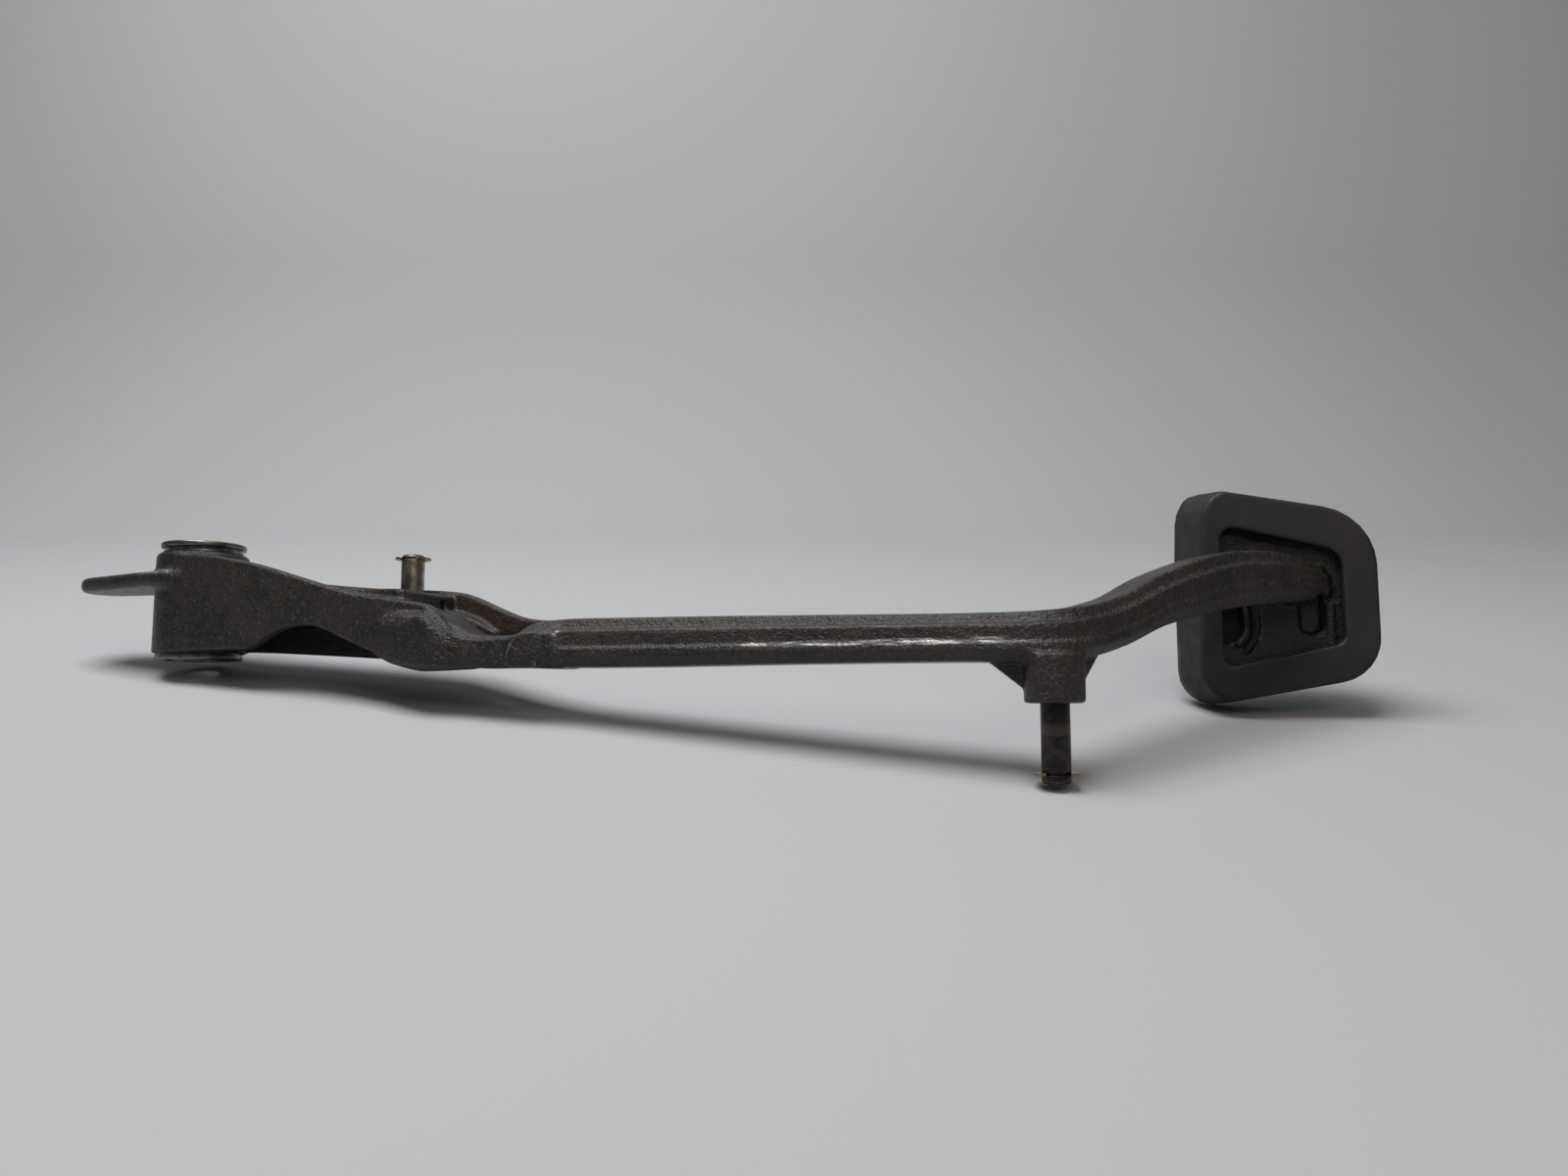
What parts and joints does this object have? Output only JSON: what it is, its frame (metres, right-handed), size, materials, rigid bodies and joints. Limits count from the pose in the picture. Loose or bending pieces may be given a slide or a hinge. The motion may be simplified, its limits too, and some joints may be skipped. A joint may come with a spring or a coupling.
{
  "type": "brake pedal lever",
  "caption": "Cast brake pedal lever with a bushed pivot tube, a tongue, two clipped pins and a rubber foot pad, turning on a clamped steel sleeve.",
  "frame": {"origin": "middle of the pivot bore, on its axis", "axes": "+Z along the pivot axis, towards the pushrod pin's free end; +X from the pivot to the middle of the pad; +Y towards the driver's foot, so the foot pushes the pad towards -Y"},
  "size_m": [0.4627, 0.1029, 0.0926],
  "materials": {
    "arm_paint": "satin black paint over a fine cast skin, rubbed bright on its edges",
    "bush_metal": "dark grey turned metal",
    "sleeve_steel": "turned steel",
    "zinc_pin": "turned steel with a brownish zinc coat",
    "dark_pin": "dark turned steel with a rubbed band",
    "clip_brass": "yellow chromated spring steel, shown as brass",
    "pad_rubber": "matt moulded black rubber"
  },
  "bodies": {
    "mounting": {"pivot_sleeve": "sleeve_steel"},
    "pedal": {"pedal_arm": "arm_paint", "upper_bush": "bush_metal", "lower_bush": "bush_metal", "pushrod_pin": "zinc_pin", "side_pin": "dark_pin", "rubber_pad": "pad_rubber"},
    "upper_clip": {"pushrod_clip": "clip_brass"},
    "lower_clip": {"side_clip": "clip_brass"}
  },
  "joints": [
    {"name": "pedal_pivot", "type": "hinge", "parent": "mounting", "child": "pedal", "pos_m": [0, 0, 0], "axis": [0, 0, -1], "range_deg": [0, 22]},
    {"name": "pushrod_clip_slide", "type": "slide", "parent": "pedal", "child": "upper_clip", "axis": [0, 1, 0], "range_m": [0, 0.02]},
    {"name": "side_clip_slide", "type": "slide", "parent": "pedal", "child": "lower_clip", "axis": [0, 1, 0], "range_m": [0, 0.02]}
  ]
}
